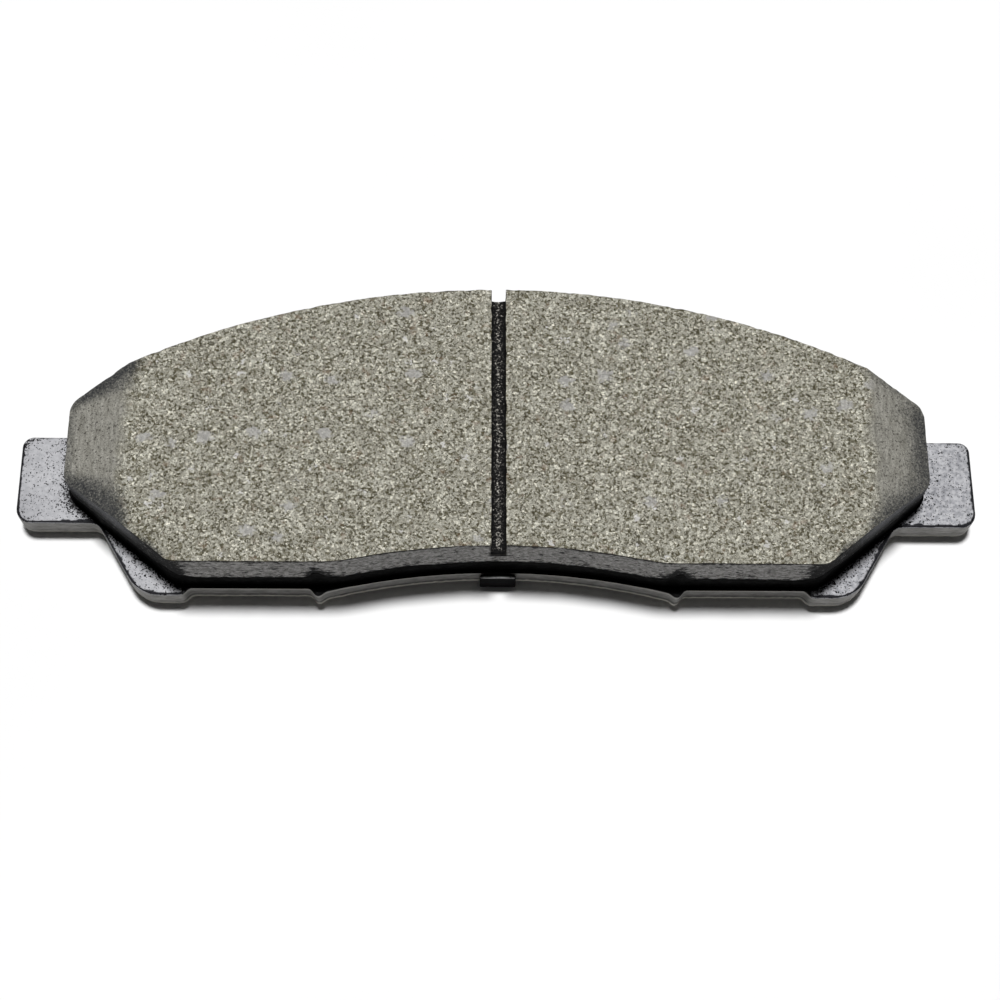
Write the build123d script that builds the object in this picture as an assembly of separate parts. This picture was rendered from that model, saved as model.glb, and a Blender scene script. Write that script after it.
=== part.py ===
"""Disc brake pad, modelled as it comes apart on a bench.

A blanked steel backing plate carries a moulded friction block on an underlayer
whose plugs fill the plate's anchor holes.  A rubber-coated steel shim is stuck
to the plate's back and hooks over the plate's edges with folded tabs.

The pad lies on its back: +Z points from the shim to the friction face, X runs
from ear to ear and +Y points to the rotor's outer edge.  Millimetres.
"""
import os
from math import asin, degrees, radians, sin, sqrt, tan

from build123d import *

# Layers along Z, from the piston side to the rotor side
OUTER_RUBBER = 0.1
SHIM_STEEL = 0.75
INNER_RUBBER = 0.1
SHIM_ADHESIVE = 0.05
PLATE = 5.0
BOND_FILM = 0.1
UNDERLAYER = 3.2
FRICTION = 8.9

# Friction block; heights are measured from the backing plate's straight lower edge
FRICTION_TOP = 56.7
OUTER_ARC_RADIUS = 159.5
SHOULDER_X = 69.6
SHOULDER_RADIUS = 2.0
FRICTION_END_X = 81.1
UPPER_SLOPE = 31.2
UPPER_CORNER_RADIUS = 3.5
LOWER_SLOPE = 39.0
LOWER_CORNER_RADIUS = 4.0
FRICTION_BOTTOM = 0.9
FRICTION_BOTTOM_X = 60.15
CONCAVE_TOP = 4.2
CONCAVE_RADIUS = 135.0
CONCAVE_BLEND_RADIUS = 30.0
END_CHAMFER_X = 70.0
END_CHAMFER_DEPTH = 4.0
SLOT_WIDTH = 2.7
SLOT_DEPTH = 4.8
SLOT_FLOOR_RADIUS = 0.4

# Backing plate
PLATE_LEDGE = 1.0
EAR_END_X = 91.4
EAR_TOP = 30.45
EAR_BOTTOM = 12.8
EAR_TOP_RADIUS = 2.1
EAR_BOTTOM_RADIUS = 3.0
EAR_ROOT_RADIUS = 1.0
LOBE_TOP_X = 75.75
LOBE_SLOPE = 59.0
LOBE_DROP = 1.48
LOBE_INNER_X = 58.9
LOBE_STEP_X = 57.7
LOBE_ROOT_RADIUS = 2.5
LOBE_RADIUS = 7.0
LOBE_STEP_RADIUS = 1.0
NUB_X = 33.7
NUB_DROP = 2.0
NUB_HALF_WIDTH = 1.45
NUB_RADIUS = 0.8
NUB_ROOT_RADIUS = 0.5
PLATE_ARC_TOP = 3.4
PLATE_ARC_RADIUS = 130.0
PLATE_EDGE_ROLL = 0.35

# Anchor holes in the plate, filled by the underlayer
ANCHOR_DIAMETER = 9.0
ANCHOR_INNER = (22.0, 33.0)
ANCHOR_OUTER = (54.0, 25.0)

# Bond film under the underlayer, squeezed out round the friction foot
FILM_MARGIN = 0.6

# Shim and its folded tabs
SHIM_INSET = 1.6
TAB_WIDTH = 6.8
TAB_GAP = 0.35
TAB_TIP_DROP = 0.3
TAB_ROOT = 7.0
TAB_BEND_RADIUS = 0.5
TAB_INNER_RADIUS = 0.2
TAB_TIP_RADIUS = 0.8
UPPER_TAB_X = 38.0

# Levels of the layers
STEEL_Z = OUTER_RUBBER
INNER_RUBBER_Z = STEEL_Z + SHIM_STEEL
ADHESIVE_Z = INNER_RUBBER_Z + INNER_RUBBER
PLATE_Z = ADHESIVE_Z + SHIM_ADHESIVE
FILM_Z = PLATE_Z + PLATE
UNDERLAYER_Z = FILM_Z + BOND_FILM
FRICTION_Z = UNDERLAYER_Z + UNDERLAYER
FACE_Z = FRICTION_Z + FRICTION

# The outer arcs of the friction block and of the plate share this centre
ARC_CENTRE_Y = FRICTION_TOP - OUTER_ARC_RADIUS
PLATE_OUTER_RADIUS = OUTER_ARC_RADIUS + PLATE_LEDGE

# How far the tools that cut right through reach past the block
CLEAR = 5.0


def height_on_arc(radius, x):
    """Height of an outer arc at x."""
    return ARC_CENTRE_Y + sqrt(radius**2 - x**2)


def height_on_plate_arc(x):
    """Height of the plate's concave lower edge at x."""
    return PLATE_ARC_TOP - PLATE_ARC_RADIUS + sqrt(PLATE_ARC_RADIUS**2 - x**2)


def mirrored(point):
    """The same point on the other side of the centre line."""
    return (-point[0], point[1])


def symmetric_face(top, right_side, bottom):
    """A face from its top middle, the corners of its right side and its bottom middle.

    The first and last corners of both sides are joined by arcs through the middles.
    """
    left_side = [mirrored(point) for point in right_side]
    edges = [ThreePointArc(left_side[0], (0, top), right_side[0])]
    edges += [Line(a, b) for a, b in zip(right_side, right_side[1:])]
    edges += [ThreePointArc(right_side[-1], (0, bottom), left_side[-1])]
    edges += [Line(a, b) for a, b in zip(left_side, left_side[1:])]
    return make_face(edges)


def rounded(face, corners):
    """The face with both copies of each (corner, radius) rounded."""
    for corner, radius in corners:
        for point in (corner, mirrored(corner)):
            vertex = face.vertices().sort_by_distance((*point, 0))[0]
            face = fillet(vertex, radius)
    return face


def block_outline():
    """Plan of the friction block and the underlayer."""
    shoulder = (SHOULDER_X, height_on_arc(OUTER_ARC_RADIUS, SHOULDER_X))
    slant_width = FRICTION_END_X - SHOULDER_X
    upper_end = (FRICTION_END_X, shoulder[1] - slant_width * tan(radians(UPPER_SLOPE)))
    slant_height = (FRICTION_END_X - FRICTION_BOTTOM_X) * tan(radians(LOWER_SLOPE))
    lower_end = (FRICTION_END_X, FRICTION_BOTTOM + slant_height)
    bottom = (FRICTION_BOTTOM_X, FRICTION_BOTTOM)
    rise = CONCAVE_TOP - FRICTION_BOTTOM
    concave_end = (sqrt(2 * CONCAVE_RADIUS * rise - rise**2), FRICTION_BOTTOM)
    face = symmetric_face(
        FRICTION_TOP,
        [shoulder, upper_end, lower_end, bottom, concave_end],
        CONCAVE_TOP,
    )
    return rounded(face, [
        (shoulder, SHOULDER_RADIUS),
        (upper_end, UPPER_CORNER_RADIUS),
        (lower_end, LOWER_CORNER_RADIUS),
        (bottom, LOWER_CORNER_RADIUS),
        (concave_end, CONCAVE_BLEND_RADIUS),
    ])


def plate_outline():
    """Plan of the backing plate: shoulders, ears, lobes and nubs."""
    shoulder_x = SHOULDER_X + PLATE_LEDGE * sin(radians(UPPER_SLOPE))
    shoulder = (shoulder_x, height_on_arc(PLATE_OUTER_RADIUS, shoulder_x))
    side_x = FRICTION_END_X + PLATE_LEDGE
    side_top = (side_x, shoulder[1] - (side_x - shoulder_x) * tan(radians(UPPER_SLOPE)))
    ear_root = (side_x, EAR_TOP)
    ear_top = (EAR_END_X, EAR_TOP)
    ear_bottom = (EAR_END_X, EAR_BOTTOM)
    lobe_root = (LOBE_TOP_X, EAR_BOTTOM)
    lobe_x = LOBE_TOP_X - (EAR_BOTTOM + LOBE_DROP) / tan(radians(LOBE_SLOPE))
    lobe_corner = (lobe_x, -LOBE_DROP)
    lobe_inner = (LOBE_INNER_X, -LOBE_DROP)
    lobe_step = (LOBE_STEP_X, 0)
    nub_outer = (NUB_X + NUB_HALF_WIDTH, 0)
    nub_tip = (NUB_X, -NUB_DROP)
    nub_inner_x = NUB_X - NUB_HALF_WIDTH
    nub_inner = (nub_inner_x, height_on_plate_arc(nub_inner_x))
    face = symmetric_face(
        FRICTION_TOP + PLATE_LEDGE,
        [
            shoulder, side_top, ear_root, ear_top, ear_bottom, lobe_root,
            lobe_corner, lobe_inner, lobe_step, nub_outer, nub_tip, nub_inner,
        ],
        PLATE_ARC_TOP,
    )
    return rounded(face, [
        (shoulder, SHOULDER_RADIUS + PLATE_LEDGE),
        (side_top, UPPER_CORNER_RADIUS + PLATE_LEDGE),
        (ear_root, EAR_ROOT_RADIUS),
        (ear_top, EAR_TOP_RADIUS),
        (ear_bottom, EAR_BOTTOM_RADIUS),
        (lobe_root, LOBE_ROOT_RADIUS),
        (lobe_corner, LOBE_RADIUS),
        (lobe_inner, LOBE_STEP_RADIUS),
        (lobe_step, LOBE_STEP_RADIUS),
        (nub_outer, NUB_ROOT_RADIUS),
        (nub_tip, NUB_RADIUS),
        (nub_inner, NUB_ROOT_RADIUS),
    ])


def layer(outline, bottom_z, thickness):
    """A flat layer of the given outline."""
    return extrude(Pos(0, 0, bottom_z) * outline, amount=thickness, dir=(0, 0, 1))


def anchor_plugs(bottom_z, top_z):
    """Cylinders at the plate's anchor holes."""
    centres = [ANCHOR_INNER, mirrored(ANCHOR_INNER), ANCHOR_OUTER, mirrored(ANCHOR_OUTER)]
    plugs = Part()
    for x, y in centres:
        plug = Cylinder(ANCHOR_DIAMETER / 2, top_z - bottom_z, align=(Align.CENTER, Align.CENTER, Align.MIN))
        plugs += Pos(x, y, bottom_z) * plug
    return plugs


def backing_plate():
    """Blanked steel plate with a rolled upper edge and four anchor holes."""
    plate = layer(plate_outline(), PLATE_Z, PLATE)
    plate = fillet(plate.edges().group_by(Axis.Z)[-1], PLATE_EDGE_ROLL)
    return plate - anchor_plugs(PLATE_Z, FILM_Z)


def bond_film():
    """Cured adhesive between the plate and the underlayer."""
    film = layer(offset(block_outline(), FILM_MARGIN), FILM_Z, BOND_FILM)
    return film - anchor_plugs(FILM_Z, UNDERLAYER_Z)


def underlayer():
    """Backing mix under the friction material, with plugs down the anchor holes."""
    slab = layer(block_outline(), UNDERLAYER_Z, UNDERLAYER)
    return slab + anchor_plugs(PLATE_Z, UNDERLAYER_Z)


def end_chamfer(side):
    """The wedge ground off one end of the friction face."""
    slope = END_CHAMFER_DEPTH / (FRICTION_END_X - END_CHAMFER_X)
    outer_x = FRICTION_END_X + CLEAR
    corners = [
        (side * END_CHAMFER_X, FACE_Z),
        (side * outer_x, FACE_Z - slope * (outer_x - END_CHAMFER_X)),
        (side * outer_x, FACE_Z + CLEAR),
        (side * END_CHAMFER_X, FACE_Z + CLEAR),
    ]
    section = Plane.XZ * make_face(Polyline(*corners, close=True))
    return extrude(section, amount=FRICTION_TOP + CLEAR, both=True)


def slot():
    """The tool for the wear and dust slot across the friction face."""
    length = FRICTION_TOP + 2 * CLEAR
    cutter = Box(SLOT_WIDTH, length, SLOT_DEPTH + CLEAR, align=(Align.CENTER, Align.CENTER, Align.MIN))
    floor_edges = cutter.edges().filter_by(Axis.Y).group_by(Axis.Z)[0]
    cutter = fillet(floor_edges, SLOT_FLOOR_RADIUS)
    return Pos(0, FRICTION_TOP / 2, FACE_Z - SLOT_DEPTH) * cutter


def friction_block():
    """Moulded friction material with its slot and chamfered ends."""
    block = layer(block_outline(), FRICTION_Z, FRICTION)
    return block - slot() - end_chamfer(1) - end_chamfer(-1)


def tab():
    """One folded tab; the plate's edge runs along X and the tab stands on its -Y side."""
    outer_y = -(TAB_GAP + SHIM_STEEL)
    leg_height = FILM_Z - TAB_TIP_DROP - STEEL_Z
    root_length = TAB_ROOT - outer_y
    root = Box(TAB_WIDTH, root_length, SHIM_STEEL, align=(Align.CENTER, Align.MIN, Align.MIN))
    leg = Box(TAB_WIDTH, SHIM_STEEL, leg_height, align=(Align.CENTER, Align.MIN, Align.MIN))
    bent = Pos(0, outer_y, STEEL_Z) * (root + leg)
    along_x = bent.edges().filter_by(Axis.X)
    outer_bend = along_x.sort_by_distance((0, outer_y, STEEL_Z))[0]
    bent = fillet(outer_bend, TAB_BEND_RADIUS)
    inner_bend = bent.edges().filter_by(Axis.X).sort_by_distance((0, -TAB_GAP, INNER_RUBBER_Z))[0]
    bent = fillet(inner_bend, TAB_INNER_RADIUS)
    tip_edges = bent.edges().filter_by(Axis.Y).group_by(Axis.Z)[-1]
    return fillet(tip_edges, TAB_TIP_RADIUS)


def upper_tab(side):
    """A tab hooked over the plate's outer arc."""
    angle = -side * degrees(asin(UPPER_TAB_X / PLATE_OUTER_RADIUS))
    at_edge = Pos(0, ARC_CENTRE_Y, 0) * Rot(0, 0, angle) * Pos(0, PLATE_OUTER_RADIUS, 0)
    return at_edge * Rot(0, 0, 180) * tab()


def shim_outline():
    """Plan of the shim, inside the plate's edge."""
    return offset(block_outline(), -SHIM_INSET)


def shim_steel():
    """Spring steel core of the shim with one lower and two upper tabs."""
    sheet = layer(shim_outline(), STEEL_Z, SHIM_STEEL)
    return sheet + Pos(0, PLATE_ARC_TOP, 0) * tab() + upper_tab(1) + upper_tab(-1)


def main():
    """Write each piece with the origin at the bottom middle of the bounding box."""
    box = plate_outline().bounding_box()
    centred = Pos(0, -(box.min.Y + box.max.Y) / 2, 0)
    pieces = {
        "backing_plate": backing_plate(),
        "bond_film": bond_film(),
        "underlayer": underlayer(),
        "friction_block": friction_block(),
        "shim_adhesive": layer(shim_outline(), ADHESIVE_Z, SHIM_ADHESIVE),
        "shim_inner_rubber": layer(shim_outline(), INNER_RUBBER_Z, INNER_RUBBER),
        "shim_steel": shim_steel(),
        "shim_outer_rubber": layer(shim_outline(), 0, OUTER_RUBBER),
    }
    os.makedirs("parts", exist_ok=True)
    for name, piece in pieces.items():
        export_step(centred * piece, f"parts/{name}.step")
        print(name, round(piece.volume, 1))
    print("heights moved by", round(centred.position.Y, 3))


main()
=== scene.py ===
"""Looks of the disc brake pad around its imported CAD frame: meshes, materials, light and camera."""

from math import cos, radians, sin, tau

import bpy
import numpy as np
from mathutils import Euler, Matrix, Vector
from mathutils.geometry import delaunay_2d_cdt
from mathutils.kdtree import KDTree


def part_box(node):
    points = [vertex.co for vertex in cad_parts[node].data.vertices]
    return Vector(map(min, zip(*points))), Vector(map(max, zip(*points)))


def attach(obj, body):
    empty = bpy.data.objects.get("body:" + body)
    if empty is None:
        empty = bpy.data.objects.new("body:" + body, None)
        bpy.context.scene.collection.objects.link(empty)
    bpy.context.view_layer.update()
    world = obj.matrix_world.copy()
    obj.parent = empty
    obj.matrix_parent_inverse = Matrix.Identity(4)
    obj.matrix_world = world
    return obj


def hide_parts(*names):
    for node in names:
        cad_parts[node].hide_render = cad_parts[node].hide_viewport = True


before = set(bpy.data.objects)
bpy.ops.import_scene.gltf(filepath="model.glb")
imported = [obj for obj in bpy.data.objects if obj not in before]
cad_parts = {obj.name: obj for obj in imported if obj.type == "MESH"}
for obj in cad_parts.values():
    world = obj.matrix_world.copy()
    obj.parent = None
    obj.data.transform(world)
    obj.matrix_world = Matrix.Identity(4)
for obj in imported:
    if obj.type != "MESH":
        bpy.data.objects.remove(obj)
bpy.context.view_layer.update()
MM = 0.001

# Levels and sizes of the CAD solids, in millimetres
PLATE_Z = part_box("backing_plate")[0].z / MM
PLATE_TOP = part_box("backing_plate")[1].z / MM
FILM_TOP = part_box("bond_film")[1].z / MM
BAND_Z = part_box("friction_block")[0].z / MM
FACE_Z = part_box("friction_block")[1].z / MM
CHAMFER_X = 70.0
CHAMFER_END_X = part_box("friction_block")[1].x / MM
CHAMFER_DEPTH = 4.0
SLOT_HALF = 1.35
SLOT_DEPTH = 4.8
SLOT_FLOOR = FACE_Z - SLOT_DEPTH
SLOT_DROP = np.linspace(FACE_Z, SLOT_FLOOR, 12)
PLATE_ROLL = 0.35

# Places on the outline: the plate's front nubs and steps, the ears' lower edge, the block's front corners,
# and a level below which only the front of the pad lies
NUB_X = 33.7
STEP_X = 58.4
EAR_FOOT_Y = -15.3
CORNER_X, CORNER_Y = 61.5, -26.5
FRONT_Y = -18.0

# Spacing of the mesh points, and the scale of the noise that pushes patterns about
WOBBLE_SCALE = 1200.0
FACE_STEP = 0.7
EDGE_STEP = 0.3
BLOCK_STEP = 0.42
HOLE_STEP = 0.6
COARSE_STEP = 0.8

# The black coat on the two chamfers, at the top, middle and bottom: its reach inwards and its strength
LEFT_REACH, LEFT_STRENGTH = (5.6, 2.8, 6.8), (0.88, 0.6, 0.86)
RIGHT_REACH, RIGHT_STRENGTH = (2.4, 5.6, 4.4), (0.55, 0.82, 0.78)

# The ears' corners, with how strongly the coat is chipped there
CHIPPED_CORNERS = [(-89.6, 0.6, 1.0), (-89.0, -12.6, 1.0), (89.6, 0.6, 0.5), (89.0, -12.6, 0.8)]


# ---------------------------------------------------------------- camera, light and floor
def add_camera():
    """The camera at the photograph's viewing angle."""
    data = bpy.data.cameras.new("camera")
    data.lens = 66.6
    data.sensor_width = 36.0
    data.clip_start = 0.01
    data.clip_end = 20.0
    camera = bpy.data.objects.new("camera", data)
    camera.location = (-0.004994, -0.139725, 0.334540)
    camera.rotation_euler = Euler((radians(21.529), radians(-0.933), radians(-0.026)))
    bpy.context.scene.collection.objects.link(camera)
    bpy.context.scene.camera = camera


def add_sun(name, azimuth, elevation, spread, power):
    """A soft distant light; azimuth is measured from +X towards +Y."""
    data = bpy.data.lights.new(name, "SUN")
    data.angle = radians(spread)
    data.energy = power
    light = bpy.data.objects.new(name, data)
    flat = cos(radians(elevation))
    across, back = flat * cos(radians(azimuth)), flat * sin(radians(azimuth))
    towards = Vector((across, back, sin(radians(elevation))))
    light.rotation_euler = towards.to_track_quat("Z", "Y").to_euler()
    bpy.context.scene.collection.objects.link(light)


def add_world():
    """Weak light from all round; the camera itself sees a pale backdrop."""
    world = bpy.data.worlds.new("studio")
    world.use_nodes = True
    nodes, links = world.node_tree.nodes, world.node_tree.links
    fill = nodes["Background"]
    fill.inputs["Color"].default_value = (1.0, 1.0, 1.0, 1.0)
    fill.inputs["Strength"].default_value = 0.014
    backdrop = nodes.new("ShaderNodeBackground")
    backdrop.inputs["Color"].default_value = (0.9, 0.9, 0.9, 1.0)
    backdrop.inputs["Strength"].default_value = 1.0
    seen = nodes.new("ShaderNodeLightPath")
    either = nodes.new("ShaderNodeMixShader")
    links.new(seen.outputs["Is Camera Ray"], either.inputs[0])
    links.new(fill.outputs[0], either.inputs[1])
    links.new(backdrop.outputs[0], either.inputs[2])
    links.new(either.outputs[0], nodes["World Output"].inputs["Surface"])
    bpy.context.scene.world = world


def add_floor():
    """A plain pale floor."""
    half = 3.0
    corners = [(-half, -half, 0), (half, -half, 0), (half, half, 0), (-half, half, 0)]
    mesh = bpy.data.meshes.new("floor")
    mesh.from_pydata(corners, [], [(0, 1, 2, 3)])
    floor = bpy.data.objects.new("floor", mesh)
    bpy.context.scene.collection.objects.link(floor)
    shader = Shader("pale_floor")
    shade = shader.noise(8.0)
    shader.set("Base Color", shader.ramp(shade, [(0.3, 0.86), (0.7, 0.88)]))
    shader.set("Roughness", 0.9)
    mesh.materials.append(shader.material)


def add_studio():
    """Soft light from above and slightly behind, a weak fill and a pale floor."""
    bpy.context.scene.view_settings.view_transform = "Standard"
    add_world()
    add_sun("key", 96.0, 78.5, 9.0, 3.6)
    add_sun("dome", 90.0, 84.0, 110.0, 0.06)
    add_floor()


# ---------------------------------------------------------------- material helper
class Shader:
    """A Principled material whose nodes are added one call at a time; coordinates are metres."""

    def __init__(self, name):
        self.material = bpy.data.materials.new(name)
        self.material.use_nodes = True
        self.tree = self.material.node_tree
        self.bsdf = self.tree.nodes["Principled BSDF"]
        self.place = self.node("TexCoord").outputs["Object"]

    def feed(self, socket, value):
        if isinstance(value, bpy.types.NodeSocket):
            self.tree.links.new(value, socket)
        elif isinstance(value, tuple) and len(value) == 3 and len(socket.default_value) == 4:
            socket.default_value = (*value, 1.0)
        else:
            socket.default_value = value

    def set(self, name, value):
        self.feed(self.bsdf.inputs[name], value)

    def node(self, kind):
        return self.tree.nodes.new("ShaderNode" + kind)

    def noise(self, scale, detail=2.0, roughness=0.5, at=None):
        node = self.node("TexNoise")
        self.feed(node.inputs["Vector"], at or self.place)
        self.feed(node.inputs["Scale"], scale)
        self.feed(node.inputs["Detail"], detail)
        self.feed(node.inputs["Roughness"], roughness)
        return node.outputs["Fac"]

    def cells(self, scale, output="Distance", at=None):
        node = self.node("TexVoronoi")
        self.feed(node.inputs["Vector"], at or self.place)
        self.feed(node.inputs["Scale"], scale)
        return node.outputs[output]

    def channel(self, colour, index):
        node = self.node("SeparateColor")
        self.feed(node.inputs["Color"], colour)
        return node.outputs[index]

    def ramp(self, value, stops, smooth=True):
        """Colours along a value; each stop's colour is a grey level or three numbers."""
        node = self.node("ValToRGB")
        ramp = node.color_ramp
        ramp.interpolation = "LINEAR" if smooth else "CONSTANT"
        while len(ramp.elements) < len(stops):
            ramp.elements.new(0.5)
        for element, (position, colour) in zip(ramp.elements, stops):
            element.position = position
            element.color = (*(colour if isinstance(colour, tuple) else (colour,) * 3), 1.0)
        self.feed(node.inputs["Fac"], value)
        return node.outputs["Color"]

    def mix(self, factor, a, b, blend="MIX"):
        node = self.node("Mix")
        node.data_type = "RGBA"
        node.blend_type = blend
        self.feed(node.inputs["Factor"], factor)
        self.feed(node.inputs["A"], a)
        self.feed(node.inputs["B"], b)
        return node.outputs["Result"]

    def math(self, operation, a, b=0.0, c=0.0):
        node = self.node("Math")
        node.operation = operation
        self.feed(node.inputs[0], a)
        self.feed(node.inputs[1], b)
        self.feed(node.inputs[2], c)
        return node.outputs[0]

    def times(self, a, b):
        return self.math("MULTIPLY", a, b)

    def plus(self, a, b):
        return self.math("ADD", a, b)

    def swing(self, noise, amount):
        """Noise moved to swing about zero."""
        return self.times(self.math("SUBTRACT", noise, 0.5), amount)

    def remap(self, value, low, high):
        node = self.node("MapRange")
        node.interpolation_type = "SMOOTHSTEP"
        self.feed(node.inputs["Value"], value)
        self.feed(node.inputs["From Min"], low)
        self.feed(node.inputs["From Max"], high)
        return node.outputs["Result"]

    def axis(self, index):
        node = self.node("SeparateXYZ")
        self.feed(node.inputs[0], self.place)
        return node.outputs[index]

    def attribute(self, name):
        node = self.node("Attribute")
        node.attribute_name = name
        return node.outputs["Fac"]

    def stretched(self, scale, wobble=0.0):
        """Coordinates scaled along each axis, and pushed about by a fine noise."""
        node = self.node("VectorMath")
        node.operation = "MULTIPLY"
        self.feed(node.inputs[0], self.place)
        self.feed(node.inputs[1], scale)
        if not wobble:
            return node.outputs[0]
        push = self.node("TexNoise")
        self.feed(push.inputs["Vector"], self.place)
        self.feed(push.inputs["Scale"], WOBBLE_SCALE)
        scaled = self.node("VectorMath")
        scaled.operation = "MULTIPLY_ADD"
        self.feed(scaled.inputs[0], push.outputs["Color"])
        self.feed(scaled.inputs[1], (wobble, wobble, wobble))
        self.feed(scaled.inputs[2], node.outputs[0])
        return scaled.outputs[0]

    def spots(self, scale, at, size, chosen):
        """Soft-edged spots in the cells whose random value lies above the chosen range."""
        shape = self.ramp(self.cells(scale, at=at), [(size, 1.0), (size + 0.06, 0.0)])
        low, high = chosen
        some = self.ramp(self.channel(self.cells(scale, "Color", at), 1), [(low, 0.0), (high, 1.0)])
        return self.times(shape, some)

    def bump(self, height, distance, strength=1.0):
        node = self.node("Bump")
        self.feed(node.inputs["Strength"], strength)
        self.feed(node.inputs["Distance"], distance)
        self.feed(node.inputs["Height"], height)
        self.set("Normal", node.outputs["Normal"])


# ---------------------------------------------------------------- numbers: noise and outlines
def unit(values):
    """Values held between 0 and 1."""
    return np.clip(values, 0, 1)


def bell(values, middle, width):
    """1 at the middle, falling away smoothly on both sides."""
    return np.exp(-((values - middle) / width) ** 2)


def lattice(ix, iy, iz, seed):
    """Repeatable random numbers from -1 to 1 at whole-number points."""
    h = (ix * 374761393 + iy * 668265263 + iz * 1103515245 + seed * 1274126177) & 0xFFFFFFFF
    h = ((h ^ (h >> 13)) * 1274126177) & 0xFFFFFFFF
    h = ((h ^ (h >> 15)) * 2246822519) & 0xFFFFFFFF
    return ((h ^ (h >> 16)) & 0xFFFF) / 32767.5 - 1.0


def waves(points, length, seed):
    """Smooth noise from about -1 to 1 with the given wavelength."""
    scaled = np.atleast_2d(points) / length
    cell = np.floor(scaled).astype(np.int64)
    part = scaled - cell
    part = part * part * (3 - 2 * part)
    total = 0.0
    for corner in range(8):
        step = np.array([corner & 1, (corner >> 1) & 1, (corner >> 2) & 1])
        weight = np.prod(np.where(step, part, 1 - part), axis=1)
        total = total + weight * lattice(*(cell + step).T, seed)
    return total


def waves_along(s, length, seed):
    """Smooth noise along a line."""
    return waves(np.column_stack([s, np.full(len(s), 0.37), np.full(len(s), 0.71)]), length, seed)


def area(loop):
    """The signed area of a plane loop, positive when it runs anticlockwise."""
    after = np.roll(loop, -1, axis=0)
    return 0.5 * float(np.sum(loop[:, 0] * after[:, 1] - after[:, 0] * loop[:, 1]))


def face_loops(node, level):
    """The closed outlines of a CAD node's flat face at a level, largest first, anticlockwise."""
    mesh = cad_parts[node].data
    points = np.array([v.co for v in mesh.vertices]) / MM
    keys = [tuple(np.round(p[:2], 4)) for p in points]
    flat = np.abs(points[:, 2] - level) < 1e-3
    edges = {}
    for polygon in mesh.polygons:
        corners = list(polygon.vertices)
        if not flat[corners].all():
            continue
        for a, b in zip(corners, corners[1:] + corners[:1]):
            there, back = (keys[a], keys[b]), (keys[b], keys[a])
            if back in edges:
                del edges[back]
            elif there != back:
                edges[there] = True
    following = {}
    for a, b in edges:
        following.setdefault(a, b)
    loops = []
    while following:
        start, point = next(iter(following.items()))
        loop = [start]
        del following[start]
        while point != start and point in following:
            loop.append(point)
            point = following.pop(point)
        loops.append(np.array(loop))
    loops = [loop if area(loop) > 0 else loop[::-1] for loop in loops if len(loop) > 2]
    return sorted(loops, key=lambda loop: -abs(area(loop)))


def along(line):
    """The distance along a line at each of its points."""
    return np.concatenate([[0.0], np.cumsum(np.linalg.norm(np.diff(line, axis=0), axis=1))])


def resampled(line, step, closed=True):
    """Evenly spaced points along a line; an open line keeps both of its ends."""
    if closed:
        line = np.vstack([line, line[:1]])
    run = along(line)
    count = max(2, int(round(run[-1] / step)))
    at = np.linspace(0.0, run[-1], count + 1)
    if closed:
        at = at[:-1]
    return np.column_stack([np.interp(at, run, line[:, i]) for i in range(line.shape[1])])


def block_edge(step):
    """The block's outline at the plate."""
    return resampled(face_loops("friction_block", BAND_Z)[0], step)


def plate_holes():
    """The outlines of the plate's anchor holes."""
    return [resampled(loop, HOLE_STEP) for loop in face_loops("backing_plate", PLATE_Z)[1:5]]


def outward(loop):
    """Outward normals of an anticlockwise loop."""
    direction = np.roll(loop, -1, axis=0) - np.roll(loop, 1, axis=0)
    direction /= np.linalg.norm(direction, axis=1)[:, None]
    return np.column_stack([direction[:, 1], -direction[:, 0]])


def at_level(points, z):
    """Plane points lifted to one height, or each to its own."""
    return np.column_stack([points, np.broadcast_to(z, len(points))])


def inside(points, loop):
    """Which points lie inside a loop."""
    result = np.zeros(len(points), bool)
    x, y = points[:, 0], points[:, 1]
    for (x1, y1), (x2, y2) in zip(loop, np.roll(loop, -1, axis=0)):
        crosses = (y1 > y) != (y2 > y)
        if crosses.any():
            where = (x2 - x1) * (y - y1) / ((y2 - y1) or 1e-12) + x1
            result ^= crosses & (x < where)
    return result


def nearest(points, targets):
    """The index of the target nearest to each point, and its distance, in the plane or in space."""
    into_space = ((0, 0), (0, 3 - targets.shape[1]))
    tree = KDTree(len(targets))
    for index, target in enumerate(np.pad(targets, into_space).tolist()):
        tree.insert(target, index)
    tree.balance()
    found = [tree.find(point)[1:] for point in np.pad(points, into_space).tolist()]
    indices, distances = zip(*found)
    return np.array(indices), np.array(distances)


def nearest_distance(points, targets):
    """The distance from each point to the nearest target."""
    return nearest(points, targets)[1]


def scattered(low, high, step, rng):
    """Points near a square grid, each pushed a little off it."""
    across = np.arange(low[0], high[0], step)
    up = np.arange(low[1], high[1], step)
    grid = np.stack(np.meshgrid(across, up), -1).reshape(-1, 2)
    return grid + rng.uniform(-0.28, 0.28, grid.shape) * step


# ---------------------------------------------------------------- faces and pieces
def triangulated(boundary, others=(), holes=()):
    """Triangles of the region inside a boundary and outside its holes, over boundary + holes + others."""
    parts = [boundary, *holes] + ([others] if len(others) else [])
    points = np.vstack(parts)
    edges, start = [], 0
    for loop in [boundary, *holes]:
        count = len(loop)
        edges += [(start + i, start + (i + 1) % count) for i in range(count)]
        start += count
    result = delaunay_2d_cdt([Vector(p) for p in points.tolist()], edges, [], 0, 1e-7)
    assert len(result[0]) == len(points), "the triangulation met a crossing"
    triangles = np.array(result[2])
    middle = points[triangles].mean(axis=1)
    keep = inside(middle, boundary)
    for hole in holes:
        keep &= ~inside(middle, hole)
    return points, triangles[keep]


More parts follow.
